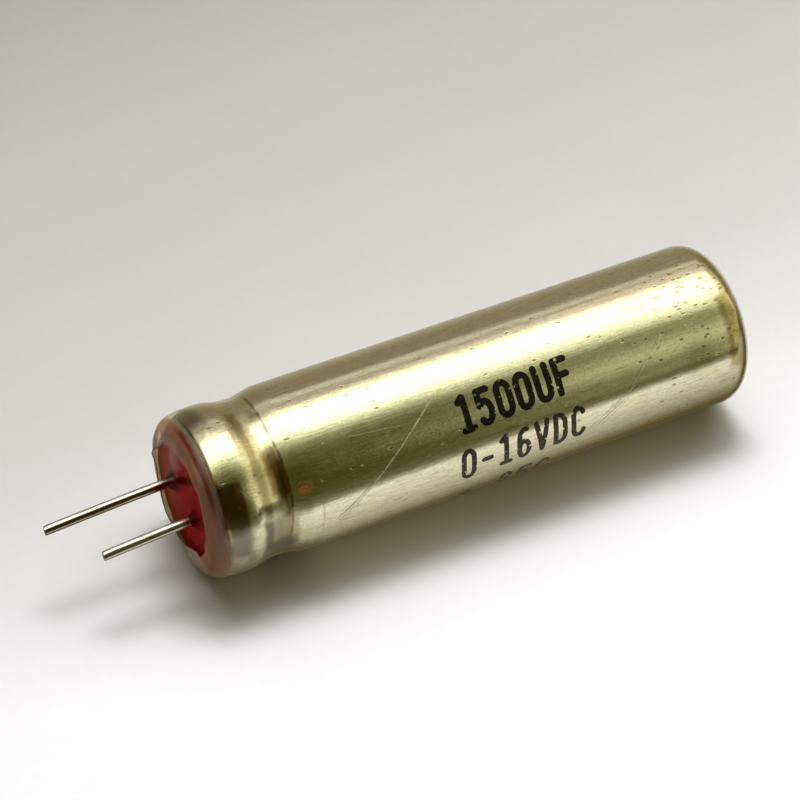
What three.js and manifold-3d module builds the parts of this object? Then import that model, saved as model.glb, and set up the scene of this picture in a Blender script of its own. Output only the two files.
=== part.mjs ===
// Radial-lead aluminium electrolytic capacitor of the kind found in vintage radios, lying on its side.
// Millimetres, +Z up. The can's axis runs along X, with the two leads towards -X and the closed end
// towards +X. Stations along the axis count from the plane of the sleeve's open end (x = 0). At the
// very end the assembly is moved so that the origin is the middle of the footprint.

import * as THREE from 'three';
import { mergeVertices } from 'three/addons/utils/BufferGeometryUtils.js';
import Module from 'manifold-3d';

const wasm = await Module();
wasm.setup();

// ---------------------------------------------------------------- driving dimensions

const SIDES = 24; // flats round every turned piece, one of them facing straight down
const BODY_RADIUS = 7.95; // axis to a flat, over the sleeve
const BODY_LENGTH = 56.35; // sleeve's open end to its closed end
const CORNER_RADIUS = 2.2; // rounded corner at the closed end
const CORNER_STEPS = 4;

const FILM = 0.2; // shrunk plastic sleeve
const CAN_WALL = 0.45;
const CLOSE_GAP = 0.03; // between nested pieces with parallel flats
const PART_GAP = 0.05; // round shafts in their holes

// Bulge over the bung, groove behind it and shoulder of the body, over the sleeve: [x, radius].
const LEAD_END_OUTLINE = [
  [-0.15, 5.35],
  [0.0, 6.5],
  [0.3, 7.15],
  [0.9, 7.65],
  [2.0, 7.9],
  [3.1, BODY_RADIUS],
  [4.4, 7.9],
  [5.4, 7.66],
  [6.2, 7.55],
  [7.1, 7.51],
  [7.75, 7.55],
  [8.6, 7.75],
  [9.4, 7.92],
  [10.2, BODY_RADIUS],
];
const BULGE_TOP = 3.1; // the can follows the sleeve from here to the closed end
const SLEEVE_END_HOLE_RADIUS = 4.9; // bare circle left at the closed end

// The can's mouth, rolled inwards over the bung: [x, radius] on its outer face.
const CAN_LIP_OUTLINE = [
  [1.25, 6.2],
  [1.25, 6.95],
  [1.5, 7.35],
  [2.1, 7.62],
];

const BUNG_BACK = 6.2; // rubber ends where the groove pinches it
const RESIN_FACE = 0.3;
const RESIN_RADIUS = 5.9;
const RESIN_CHAMFER = 0.25;

// Where the two terminals sit about the axis, how far each lead reaches and leans, and where the far
// face of each tab runs: in the winding's core for the anode, outside the last turn for the cathode.
const TERMINALS = [
  { pole: 'positive', y: 2.57, z: 0.2, reach: 12.55, lean: [-0.39, -0.39], tabY: 0.8 },
  { pole: 'negative', y: -2.57, z: -0.2, reach: 8.95, lean: [-0.32, -0.3], tabY: -6.35 },
];
const LEAD_RADIUS = 0.475;
const LEAD_SIDES = 10;
const LEAD_STEPS = 12;
const LEAD_BEND = -0.7; // leads run straight as far as here
const WELD = 2.4; // butt weld between tinned wire and aluminium stud
const STUD_RADIUS = 1.0;
const STUD_SIDES = 16;
const STUD_END = 8.3;

// Resin drawn up each lead while it set: [x, radius].
const MENISCUS_OUTLINE = [
  [-0.65, 0.62],
  [-0.3, 0.75],
  [0.1, 1.1],
  [0.4, 1.6],
  [0.9, 1.6],
];
const MENISCUS_SIDES = 16;

const TAB_THICKNESS = 0.25;
const TAB_WIDTH = 1.6;
const TAB_END = 24; // how far the tabs run down beside the winding
const TAB_ON_STUD = 0.8; // share of the stud's radius that the tab covers past its centre

const DISC_THICKNESS = 0.3;
const UPPER_DISC = { start: 8.9, radius: 6.95, coreHole: 1.6, notchY: -6.0, notchHalfWidth: 1.6 };
const LOWER_DISC = { start: 54.95, radius: 6.3 };

const WINDING_START = 9.7;
const WINDING_END = 54.5;
const FOIL_INSET = 1.0; // the papers are wider than the foils at both ends
const CORE_RADIUS = 1.4;
const TURNS = 7;
const STEPS_PER_TURN = 18;
const TURN_PITCH = 0.61; // radial growth of the four layers in one turn

// The wound strips, from the inside of each turn outwards.
const STRIPS = [
  { name: 'separator_paper_inner', offset: 0.0, thickness: 0.11, firstTurn: 1, inset: 0, finish: 'paper' },
  { name: 'anode_foil', offset: 0.14, thickness: 0.18, firstTurn: 0, inset: FOIL_INSET, finish: 'anode' },
  { name: 'separator_paper_outer', offset: 0.35, thickness: 0.11, firstTurn: 0, inset: 0, finish: 'paper' },
  { name: 'cathode_foil', offset: 0.49, thickness: 0.09, firstTurn: 0, inset: FOIL_INSET, finish: 'cathode' },
];

const WRAP = { inner: 6.6, thickness: 0.12 };
const TAPE = { inner: 6.77, thickness: 0.1, start: 24, end: 38 };

// ---------------------------------------------------------------- materials

const FINISHES = {
  can: { color: 0xd9d8d2, roughness: 0.22, metalness: 1.0 },
  film: { color: 0xe6dc9a, roughness: 0.15, metalness: 0.0 },
  rubber: { color: 0x2b2826, roughness: 0.8, metalness: 0.0 },
  resin: { color: 0x8c1420, roughness: 0.2, metalness: 0.0 },
  tin: { color: 0xa7a296, roughness: 0.3, metalness: 1.0 },
  stud: { color: 0xc8c9c8, roughness: 0.35, metalness: 1.0 },
  tab: { color: 0xd2d3d2, roughness: 0.3, metalness: 1.0 },
  fibre: { color: 0xb08a5c, roughness: 0.85, metalness: 0.0 },
  paper: { color: 0xd8c9a4, roughness: 0.9, metalness: 0.0 },
  anode: { color: 0x8f8f8c, roughness: 0.6, metalness: 0.8 },
  cathode: { color: 0xc2c3c2, roughness: 0.3, metalness: 1.0 },
  tape: { color: 0xcfa65a, roughness: 0.4, metalness: 0.0 },
};

// ---------------------------------------------------------------- helpers

const assembly = new THREE.Group();

function addPiece(name, geometry, finish) {
  const mesh = new THREE.Mesh(geometry, new THREE.MeshStandardMaterial(FINISHES[finish]));
  mesh.name = name;
  assembly.add(mesh);
}

// Revolves an outline of [x, radius] points about the X axis. Radii are measured to the flats.
function turned(outline, sides) {
  const toCorner = 1 / Math.cos(Math.PI / sides);
  const points = outline.map(([x, radius]) => new THREE.Vector2(radius * toCorner, x));
  const geometry = new THREE.LatheGeometry(points, sides, Math.PI / sides);
  geometry.rotateZ(-Math.PI / 2);
  return geometry;
}

function cylinder(start, end, radius, sides) {
  return turned([[start, 0], [start, radius], [end, radius], [end, 0]], sides);
}

function tube(start, end, inner, outer, sides) {
  return turned([[start, inner], [start, outer], [end, outer], [end, inner], [start, inner]], sides);
}

// Moves an outline towards the axis side by a constant distance, keeping its segments parallel.
function offsetOutline(outline, distance) {
  const normals = [];
  for (let i = 0; i < outline.length - 1; i += 1) {
    const dx = outline[i + 1][0] - outline[i][0];
    const dr = outline[i + 1][1] - outline[i][1];
    const length = Math.hypot(dx, dr);
    normals.push([dr / length, -dx / length]);
  }
  return outline.map(([x, radius], i) => {
    const before = normals[Math.max(i - 1, 0)];
    const after = normals[Math.min(i, normals.length - 1)];
    const scale = distance / (1 + before[0] * after[0] + before[1] * after[1]);
    return [x + (before[0] + after[0]) * scale, radius + (before[1] + after[1]) * scale];
  });
}

// Radius of an outline at a station, by straight interpolation.
function radiusAt(outline, station) {
  const i = outline.findIndex(([x]) => x > station);
  const [x0, r0] = outline[i - 1];
  const [x1, r1] = outline[i];
  return r0 + ((r1 - r0) * (station - x0)) / (x1 - x0);
}

function toSolid(geometry) {
  const bare = geometry.clone();
  bare.deleteAttribute('normal');
  bare.deleteAttribute('uv');
  const merged = mergeVertices(bare, 1e-4);
  return new wasm.Manifold(new wasm.Mesh({
    numProp: 3,
    vertProperties: new Float32Array(merged.attributes.position.array),
    triVerts: new Uint32Array(merged.index.array),
  }));
}

function toGeometry(solid) {
  const mesh = solid.getMesh();
  const geometry = new THREE.BufferGeometry();
  geometry.setAttribute('position', new THREE.BufferAttribute(new Float32Array(mesh.vertProperties), 3));
  geometry.setIndex(new THREE.BufferAttribute(new Uint32Array(mesh.triVerts), 1));
  geometry.computeVertexNormals();
  return geometry;
}

// One piece with others joined to it and then others cut out of it.
function shaped(base, joined, cut) {
  let solid = toSolid(base);
  for (const geometry of joined) {
    solid = solid.add(toSolid(geometry));
  }
  for (const geometry of cut) {
    solid = solid.subtract(toSolid(geometry));
  }
  return toGeometry(solid);
}

// Moves a piece turned about the main axis onto a terminal's own axis.
function atTerminal(geometry, terminal) {
  return geometry.translate(0, terminal.y, terminal.z);
}

// ---------------------------------------------------------------- can and sleeve

function closedEndCorner() {
  const points = [];
  for (let i = 0; i <= CORNER_STEPS; i += 1) {
    const angle = (i / CORNER_STEPS) * (Math.PI / 2);
    const x = BODY_LENGTH - CORNER_RADIUS * (1 - Math.sin(angle));
    const radius = BODY_RADIUS - CORNER_RADIUS * (1 - Math.cos(angle));
    points.push([x, radius]);
  }
  return points;
}

const sleeveOutline = [
  ...LEAD_END_OUTLINE,
  ...closedEndCorner(),
  [BODY_LENGTH, SLEEVE_END_HOLE_RADIUS],
];

function sleeve() {
  const inside = offsetOutline(sleeveOutline, FILM).reverse();
  return turned([...sleeveOutline, ...inside, sleeveOutline[0]], SIDES);
}

const underSleeve = offsetOutline(sleeveOutline, FILM + CLOSE_GAP);
const canEnd = BODY_LENGTH - FILM - CLOSE_GAP;
const canOutline = [
  ...CAN_LIP_OUTLINE,
  ...underSleeve.filter(([x]) => x > BULGE_TOP - FILM).slice(0, -1),
  [canEnd, 0],
];

function can() {
  const inside = offsetOutline(canOutline, CAN_WALL).reverse();
  return turned([...inside, ...canOutline], SIDES);
}

addPiece('can', can(), 'can');
addPiece('outer_sleeve', sleeve(), 'film');

// ---------------------------------------------------------------- bung, resin and terminals

function bung() {
  const inCan = offsetOutline(canOutline, CAN_WALL + CLOSE_GAP);
  const outline = [
    [inCan[0][0], 0],
    ...inCan.filter(([x]) => x < BUNG_BACK),
    [BUNG_BACK, radiusAt(inCan, BUNG_BACK)],
    [BUNG_BACK, 0],
  ];
  const studHoles = TERMINALS.map((terminal) => (
    atTerminal(cylinder(0, STUD_END, STUD_RADIUS + PART_GAP, STUD_SIDES), terminal)
  ));
  return shaped(turned(outline, SIDES), [], studHoles);
}

function resin() {
  const back = CAN_LIP_OUTLINE[0][0] + CAN_WALL;
  const plug = turned([
    [RESIN_FACE, 0],
    [RESIN_FACE, RESIN_RADIUS - RESIN_CHAMFER],
    [RESIN_FACE + RESIN_CHAMFER, RESIN_RADIUS],
    [back, RESIN_RADIUS],
    [back, 0],
  ], SIDES);
  const tip = MENISCUS_OUTLINE[0][0];
  const root = MENISCUS_OUTLINE[MENISCUS_OUTLINE.length - 1][0];
  const menisci = TERMINALS.map((terminal) => (
    atTerminal(turned([[tip, 0], ...MENISCUS_OUTLINE, [root, 0]], MENISCUS_SIDES), terminal)
  ));
  const leadHoles = TERMINALS.map((terminal) => (
    atTerminal(cylinder(tip - 1, back + 1, LEAD_RADIUS + PART_GAP, LEAD_SIDES), terminal)
  ));
  return shaped(plug, menisci, leadHoles);
}

function leadWire(terminal) {
  const { y, z, reach, lean } = terminal;
  const path = new THREE.CatmullRomCurve3([
    new THREE.Vector3(WELD, y, z),
    new THREE.Vector3((WELD + LEAD_BEND) / 2, y, z),
    new THREE.Vector3(LEAD_BEND, y, z),
    new THREE.Vector3((LEAD_BEND - reach) / 2, y + lean[0] / 2, z + lean[1] / 2),
    new THREE.Vector3(-reach, y + lean[0], z + lean[1]),
  ]);
  const section = new THREE.Shape();
  for (let i = 0; i < LEAD_SIDES; i += 1) {
    const angle = (i / LEAD_SIDES) * 2 * Math.PI;
    const point = [LEAD_RADIUS * Math.cos(angle), LEAD_RADIUS * Math.sin(angle)];
    if (i === 0) {
      section.moveTo(...point);
    } else {
      section.lineTo(...point);
    }
  }
  return new THREE.ExtrudeGeometry(section, { steps: LEAD_STEPS, extrudePath: path });
}

function stud(terminal) {
  return atTerminal(cylinder(WELD + PART_GAP, STUD_END, STUD_RADIUS, STUD_SIDES), terminal);
}

// A ribbon that crosses from the stud's end to another radius and then runs down the winding.
function tab(terminal) {
  const farY = terminal.tabY;
  const side = Math.sign(farY - terminal.y);
  const nearY = farY - side * TAB_THICKNESS;
  const studY = terminal.y - side * STUD_RADIUS * TAB_ON_STUD;
  const start = STUD_END + PART_GAP;
  const bend = start + TAB_THICKNESS;
  const outline = new THREE.Shape([
    new THREE.Vector2(start, studY),
    new THREE.Vector2(start, farY),
    new THREE.Vector2(TAB_END, farY),
    new THREE.Vector2(TAB_END, nearY),
    new THREE.Vector2(bend, nearY),
    new THREE.Vector2(bend, studY),
  ]);
  const geometry = new THREE.ExtrudeGeometry(outline, { depth: TAB_WIDTH, bevelEnabled: false });
  return geometry.translate(0, 0, terminal.z - TAB_WIDTH / 2);
}

addPiece('rubber_bung', bung(), 'rubber');
addPiece('resin_seal', resin(), 'resin');
for (const terminal of TERMINALS) {
  addPiece(`lead_wire_${terminal.pole}`, leadWire(terminal), 'tin');
  addPiece(`terminal_stud_${terminal.pole}`, stud(terminal), 'stud');
  addPiece(`tab_${terminal.pole}`, tab(terminal), 'tab');
}

// ---------------------------------------------------------------- winding and its insulation

function upperDisc() {
  const { start, radius, coreHole, notchY, notchHalfWidth } = UPPER_DISC;
  const end = start + DISC_THICKNESS;
  const notchDepth = radius + notchY + 1;
  const notch = new THREE.BoxGeometry(2, notchDepth, 2 * notchHalfWidth);
  notch.translate((start + end) / 2, notchY - notchDepth / 2, TERMINALS[1].z);
  const cuts = [cylinder(start - 1, end + 1, coreHole, STUD_SIDES), notch];
  return shaped(cylinder(start, end, radius, SIDES), [], cuts);
}

function spiralPoint(turn, offset) {
  const radius = CORE_RADIUS + TURN_PITCH * turn + offset;
  const angle = turn * 2 * Math.PI;
  return new THREE.Vector2(radius * Math.sin(angle), radius * Math.cos(angle));
}

function woundStrip({ offset, thickness, firstTurn, inset }) {
  const inside = [];
  const outside = [];
  for (let i = firstTurn * STEPS_PER_TURN; i <= TURNS * STEPS_PER_TURN; i += 1) {
    const turn = i / STEPS_PER_TURN;
    inside.push(spiralPoint(turn, offset));
    outside.push(spiralPoint(turn, offset + thickness));
  }
  const section = new THREE.Shape([...outside, ...inside.reverse()]);
  const depth = WINDING_END - WINDING_START - 2 * inset;
  const geometry = new THREE.ExtrudeGeometry(section, { depth, bevelEnabled: false });
  geometry.rotateY(Math.PI / 2);
  return geometry.translate(WINDING_START + inset, 0, 0);
}

addPiece('upper_insulating_disc', upperDisc(), 'fibre');
for (const strip of STRIPS) {
  addPiece(strip.name, woundStrip(strip), strip.finish);
}
addPiece(
  'paper_wrap',
  tube(WINDING_START, WINDING_END, WRAP.inner, WRAP.inner + WRAP.thickness, SIDES),
  'paper',
);
addPiece('closing_tape', tube(TAPE.start, TAPE.end, TAPE.inner, TAPE.inner + TAPE.thickness, SIDES), 'tape');
addPiece(
  'lower_insulating_disc',
  cylinder(LOWER_DISC.start, LOWER_DISC.start + DISC_THICKNESS, LOWER_DISC.radius, SIDES),
  'fibre',
);

// ---------------------------------------------------------------- footprint on the origin

const extent = new THREE.Box3().setFromObject(assembly);
assembly.position.set(-(extent.min.x + extent.max.x) / 2, 0, -extent.min.z);

const capacitor = new THREE.Group();
capacitor.name = 'electrolytic_capacitor';
capacitor.add(assembly);

export default capacitor;
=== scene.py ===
import math
import random

import bpy
import numpy as np
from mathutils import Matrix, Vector, noise


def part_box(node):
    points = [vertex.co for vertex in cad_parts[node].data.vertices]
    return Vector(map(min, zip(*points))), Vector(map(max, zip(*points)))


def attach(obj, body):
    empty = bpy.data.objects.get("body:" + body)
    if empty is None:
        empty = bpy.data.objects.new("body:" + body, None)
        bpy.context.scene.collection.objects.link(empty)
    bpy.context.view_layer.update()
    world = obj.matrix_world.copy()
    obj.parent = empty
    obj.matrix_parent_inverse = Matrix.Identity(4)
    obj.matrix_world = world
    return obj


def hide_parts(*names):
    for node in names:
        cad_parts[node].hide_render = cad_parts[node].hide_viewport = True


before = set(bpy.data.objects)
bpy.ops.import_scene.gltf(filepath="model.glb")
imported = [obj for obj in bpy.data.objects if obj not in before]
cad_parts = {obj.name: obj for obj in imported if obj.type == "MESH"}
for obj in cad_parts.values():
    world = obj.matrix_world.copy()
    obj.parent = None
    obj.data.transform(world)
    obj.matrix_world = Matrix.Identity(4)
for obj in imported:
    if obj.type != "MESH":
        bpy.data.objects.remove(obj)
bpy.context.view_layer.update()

# ---- driving dimensions (millimetres)
# Stations run along X from the plane of the sleeve's open end. Angles are in degrees round the
# axis: 0 faces -Y (the front), 90 is straight up, 180 is the back.

MM = 0.001
BODY_LENGTH = 56.35
sleeve_low, sleeve_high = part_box("outer_sleeve")
START_X = sleeve_high.x / MM - BODY_LENGTH
AXIS_Z = (sleeve_low.z + sleeve_high.z) / 2 / MM
BODY_RADIUS = (sleeve_high.z - sleeve_low.z) / 2 / MM
CORNER_RADIUS = 2.2
FILM = 0.09  # thickness of the shrink film
CAN_WALL = 0.45
CLOSED_HOLE_RADIUS = 4.9  # hole that the film leaves over the closed end
ROUND_SIDES = 192  # columns of faces round the can and the film

SLEEVE_OUTLINE = [  # (station, radius) over the film, from the seal to the plain wall
    (-0.15, 5.35), (0.0, 6.5), (0.3, 7.15), (0.9, 7.65), (2.0, 7.9), (3.1, 7.95), (4.4, 7.9),
    (5.4, 7.66), (6.2, 7.55), (7.1, 7.51), (7.75, 7.55), (8.6, 7.75), (9.4, 7.92), (10.2, 7.95),
]
RIM_OUTLINE = [  # (station, radius) of the metal rolled in at the open end
    (1.75, 6.1), (1.45, 6.12), (1.27, 6.25), (1.2, 6.55), (1.27, 6.95), (1.55, 7.35), (2.1, 7.6),
]
LEADS = {
    "positive": {"y": 2.57, "z": 0.2, "reach": 12.55, "lean": (-0.39, -0.39)},
    "negative": {"y": -2.57, "z": -0.2, "reach": 8.95, "lean": (-0.32, -0.3)},
}
LEAD_RADIUS = 0.475
LEAD_BEND = -0.7  # station from which the leads lean
RESIN_FACE = 0.3  # station of the seal's face

# ---- placing helpers


def place(station, radius, degrees):
    """A point at a station, a radius and an angle round the axis, in metres."""
    a = math.radians(degrees)
    return Vector((
        (START_X + station) * MM,
        -radius * math.cos(a) * MM,
        (AXIS_Z + radius * math.sin(a)) * MM,
    ))


def spot(station, y, z):
    """A point at a station and at y, z off the axis, in metres."""
    return Vector(((START_X + station) * MM, y * MM, (AXIS_Z + z) * MM))


def smooth_curve(points, step):
    """Catmull-Rom curve through [x, r] points, cut into steps of about the given length."""
    pts = [np.array(p, float) for p in points]
    ends = [2 * pts[0] - pts[1]] + pts + [2 * pts[-1] - pts[-2]]
    out = []
    for i in range(1, len(ends) - 2):
        p0, p1, p2, p3 = ends[i - 1:i + 3]
        count = max(1, int(math.ceil(np.linalg.norm(p2 - p1) / step)))
        for k in range(count):
            t = k / count
            out.append(0.5 * (
                2 * p1 + (p2 - p0) * t + (2 * p0 - 5 * p1 + 4 * p2 - p3) * t ** 2
                + (3 * p1 - p0 - 3 * p2 + p3) * t ** 3
            ))
    out.append(pts[-1])
    return [tuple(p) for p in out]


def straight(start, end, step):
    count = max(1, int(math.ceil(math.dist(start, end) / step)))
    return [
        tuple(a + (b - a) * k / count for a, b in zip(start, end)) for k in range(1, count + 1)
    ]


def inset(points, distance):
    """The outline moved towards the metal by a distance, along its own normals."""
    arr = np.array(points)
    tangent = np.gradient(arr, axis=0)
    tangent /= np.linalg.norm(tangent, axis=1)[:, None]
    normal = np.stack([tangent[:, 1], -tangent[:, 0]], axis=1)
    return [tuple(p) for p in arr + normal * distance]


def make_object(name, vertices, faces, material, sharp=40.0):
    mesh = bpy.data.meshes.new(name)
    mesh.from_pydata([tuple(v) for v in vertices], [], faces)
    mesh.validate()
    mesh.polygons.foreach_set("use_smooth", [True] * len(mesh.polygons))
    mesh.set_sharp_from_angle(angle=math.radians(sharp))
    mesh.update()
    obj = bpy.data.objects.new(name, mesh)
    bpy.context.scene.collection.objects.link(obj)
    for m in material if isinstance(material, (list, tuple)) else [material]:
        mesh.materials.append(m)
    return obj


def lathe(name, outline, material, warp):
    """Revolves a closed outline, bent by warp. A radius of zero is a pole."""
    vertices, rings = [], []
    for i, (x, r) in enumerate(outline):
        if r < 1e-6:
            rings.append([len(vertices)])
            vertices.append(place(x, 0, 0))
            continue
        ring = []
        for j in range(ROUND_SIDES):
            degrees = 360 * j / ROUND_SIDES
            ring.append(len(vertices))
            vertices.append(place(*warp(i, x, r, degrees), degrees))
        rings.append(ring)
    faces = []
    for a, b in zip(rings, rings[1:] + rings[:1]):
        if len(a) == 1 and len(b) == 1:
            continue
        for j in range(ROUND_SIDES):
            k = (j + 1) % ROUND_SIDES
            if len(a) == 1:
                faces.append((a[0], b[j], b[k]))
            elif len(b) == 1:
                faces.append((a[k], a[j], b[0]))
            else:
                faces.append((a[k], a[j], b[j], b[k]))
    return make_object(name, vertices, faces, material, 50)


def periodic(table, degrees):
    """Cosine interpolation through {angle: value} round the circle."""
    keys = sorted(table)
    d = degrees % 360
    for a, b in zip(keys, keys[1:] + [keys[0] + 360]):
        for shift in (0, 360):
            if a <= d + shift <= b:
                t = (d + shift - a) / (b - a)
                t = (1 - math.cos(math.pi * t)) / 2
                return table[a] * (1 - t) + table[b % 360] * t
    return table[keys[0]]


# ---- material helpers


class Graph:
    """Small helper for wiring a node tree."""

    def __init__(self, tree):
        self.tree = tree
        self.nodes = tree.nodes
        self.nodes.clear()

    def node(self, kind, **settings):
        n = self.nodes.new(kind)
        for key, value in settings.items():
            setattr(n, key, value)
        return n

    def link(self, source, target):
        self.tree.links.new(source, target)
        return target

    def feed(self, socket, value):
        if isinstance(value, bpy.types.NodeSocket):
            self.link(value, socket)
        elif value is not None:
            socket.default_value = value

    def math(self, operation, a, b=None, clamp=False):
        n = self.node("ShaderNodeMath", operation=operation, use_clamp=clamp)
        self.feed(n.inputs[0], a)
        self.feed(n.inputs[1], b)
        return n.outputs[0]

    def product(self, first, *others):
        for value in others:
            first = self.math("MULTIPLY", first, value)
        return first

    def weighted(self, a, share_a, b, share_b):
        return self.math("ADD", self.math("MULTIPLY", a, share_a), self.math("MULTIPLY", b, share_b))

    def band(self, value, low, high, soft):
        """1 between low and high, falling to 0 within soft of either."""
        rising = self.ranged(value, low - soft, low + soft)
        return self.math("MULTIPLY", rising, self.ranged(value, high - soft, high + soft, 1.0, 0.0))

    def blend(self, factor, a, b):
        return self.math("ADD", a, self.math("MULTIPLY", factor, self.math("SUBTRACT", b, a)))

    def vector(self, operation, a, b=None, scale=None):
        n = self.node("ShaderNodeVectorMath", operation=operation)
        self.feed(n.inputs[0], a)
        self.feed(n.inputs[1], b)
        if scale is not None:
            self.feed(n.inputs[3], scale)
        return n.outputs["Value"] if operation in ("LENGTH", "DOT_PRODUCT") else n.outputs[0]

    def ranged(self, value, low, high, to_low=0.0, to_high=1.0, smooth=True):
        n = self.node("ShaderNodeMapRange", interpolation_type="SMOOTHSTEP" if smooth else "LINEAR")
        self.feed(n.inputs["Value"], value)
        n.inputs["From Min"].default_value = low
        n.inputs["From Max"].default_value = high
        n.inputs["To Min"].default_value = to_low
        n.inputs["To Max"].default_value = to_high
        return n.outputs["Result"]

    def ramp(self, value, stops):
        n = self.node("ShaderNodeValToRGB")
        n.color_ramp.interpolation = "LINEAR"
        elements = n.color_ramp.elements
        while len(elements) > 1:
            elements.remove(elements[-1])
        for i, (position, colour) in enumerate(stops):
            e = elements[0] if i == 0 else elements.new(position)
            e.position = position
            e.color = (*colour, 1)
        self.feed(n.inputs[0], value)
        return n.outputs[0]

    def split(self, vector):
        n = self.node("ShaderNodeSeparateXYZ")
        self.link(vector, n.inputs[0])
        return n.outputs

    def tones_along(self, distance, tones):
        """A ramp through (millimetres, tone) stops, over a distance in metres."""
        first, last = tones[0][0], tones[-1][0]
        turn = self.ranged(distance, first * MM, last * MM, smooth=False)
        return self.ramp(turn, [((t - first) / (last - first), c) for t, c in tones])

    def mix(self, factor, a, b, blend="MIX"):
        n = self.node("ShaderNodeMix", data_type="RGBA", blend_type=blend)
        self.feed(n.inputs[0], factor)
        self.feed(n.inputs[6], (*a, 1) if isinstance(a, tuple) else a)
        self.feed(n.inputs[7], (*b, 1) if isinstance(b, tuple) else b)
        return n.outputs[2]

    def noise(self, vector, scale, detail=3.0, rough=0.5):
        n = self.node("ShaderNodeTexNoise")
        self.feed(n.inputs["Vector"], vector)
        n.inputs["Scale"].default_value = scale
        n.inputs["Detail"].default_value = detail
        n.inputs["Roughness"].default_value = rough
        return n.outputs[0]

    def bump(self, height, strength, distance):
        n = self.node("ShaderNodeBump")
        n.inputs["Strength"].default_value = strength
        n.inputs["Distance"].default_value = distance
        self.feed(n.inputs["Height"], height)
        return n.outputs[0]

    def shader_mix(self, factor, a, b):
        n = self.node("ShaderNodeMixShader")
        self.feed(n.inputs[0], factor)
        self.link(a, n.inputs[1])
        self.link(b, n.inputs[2])
        return n.outputs[0]

    def principled(self, base, rough, metallic=0.0, normal=None, **sockets):
        n = self.node("ShaderNodeBsdfPrincipled")
        self.feed(n.inputs["Base Color"], (*base, 1) if isinstance(base, tuple) else base)
        self.feed(n.inputs["Roughness"], rough)
        self.feed(n.inputs["Metallic"], metallic)
        self.feed(n.inputs["Normal"], normal)
        for key, value in sockets.items():
            n.inputs[key.replace("_", " ")].default_value = value
        return n.outputs[0]

    def output(self, surface):
        n = self.node("ShaderNodeOutputMaterial")
        self.link(surface, n.inputs["Surface"])

    # ---- places on the object, in millimetres

    def around(self):
        """(station, arc length up from the front, radius) of the shaded point, as sockets."""
        where = self.node("ShaderNodeTexCoord").outputs["Object"]
        moved = self.vector("ADD", where, (-START_X * MM, 0, -AXIS_Z * MM))
        scaled = self.vector("SCALE", moved, scale=1000.0)
        x, y, z = self.split(scaled)
        angle = self.math("ARCTAN2", z, self.math("MULTIPLY", y, -1.0))
        square = self.weighted(y, y, z, z)
        radius = self.math("SQRT", square)
        return x, self.math("MULTIPLY", angle, BODY_RADIUS), radius, scaled

    def unrolled(self, x, arc):
        n = self.node("ShaderNodeCombineXYZ")
        self.link(x, n.inputs[0])
        self.link(arc, n.inputs[1])
        return n.outputs[0]

    def segment(self, flat, a, b):
        """Distance in mm from a straight mark between two (station, degrees) points."""
        a, b = (Vector((p[0], math.radians(p[1]) * BODY_RADIUS, 0)) for p in (a, b))
        return self.off_line(flat, a, b)

    def off_line(self, where, a, b):
        """Distance from the straight line between two points."""
        along = b - a
        rel = self.vector("SUBTRACT", where, tuple(a))
        reach = self.vector("DOT_PRODUCT", rel, tuple(along))
        t = self.math("MULTIPLY", reach, 1 / along.length_squared, clamp=True)
        back = self.vector("SCALE", tuple(along), scale=t)
        return self.vector("LENGTH", self.vector("SUBTRACT", rel, back))


def material(name):
    m = bpy.data.materials.new(name)
    m.use_nodes = True
    return m, Graph(m.node_tree)


# ---- marks and painted shade on the can

SCRATCHES = [  # (station, degrees) to (station, degrees), width, strength
    ((23.5, 58), (12.2, -6), 0.07, 0.75),
    ((38.2, -5), (43.2, 20), 0.05, 0.60),
    ((39.3, -3), (43.4, 17), 0.05, 0.50),
    ((40.8, 6), (46.8, 47), 0.045, 0.40),
    ((42.2, 14), (47.8, 48), 0.04, 0.35),
    ((43.2, 16), (45.9, 52), 0.04, 0.30),
    ((36.0, 2), (33.6, -12), 0.05, 0.5),
    ((35.2, 3), (31.8, -14), 0.04, 0.4),
    ((10.7, 13), (10.65, -14), 0.05, 0.45),
    ((44.1, 73), (46.8, 70), 0.05, 0.5),
    ((44.1, 73), (44.2, 71), 0.05, 0.5),
    ((3.2, 40), (5.4, 14), 0.05, 0.35),
    ((14.5, 50), (19.5, 46), 0.05, 0.3),
    ((31.0, 120), (38.0, 150), 0.05, 0.4),
    ((12.0, 200), (24.0, 230), 0.05, 0.5),
    ((40.0, 250), (47.0, 215), 0.06, 0.5),
]
HAIR_COUNT = 22
HAIR_WIDTH = 0.035


def hairlines():
    """Faint scratches scattered over the part of the wall that is handled."""
    dice = random.Random(11)
    out = []
    for _ in range(HAIR_COUNT):
        start = (dice.uniform(11, 54), dice.uniform(-30, 120))
        length = dice.uniform(1.5, 7.0)
        turn = dice.uniform(-14, 30) * dice.choice((-1, 1))
        end = (start[0] + length, start[1] + turn)
        out.append((start, end, HAIR_WIDTH, dice.uniform(0.12, 0.3)))
    return out


def scratch_mask(g, flat):
    total = None
    for a, b, width, strength in SCRATCHES + hairlines():
        line = g.ranged(g.segment(flat, a, b), width * 0.4, width * 1.5, strength, 0.0)
        total = line if total is None else g.math("MAXIMUM", total, line)
    broken = g.ranged(g.noise(flat, 3.0, 4.0, 0.7), 0.38, 0.52, 0.35, 1.0)
    return g.math("MULTIPLY", total, broken)


# Patches that darken the metal under the film: partly grime, partly painted shade and painted dark reflection
# where the metal should look darker.
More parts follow.
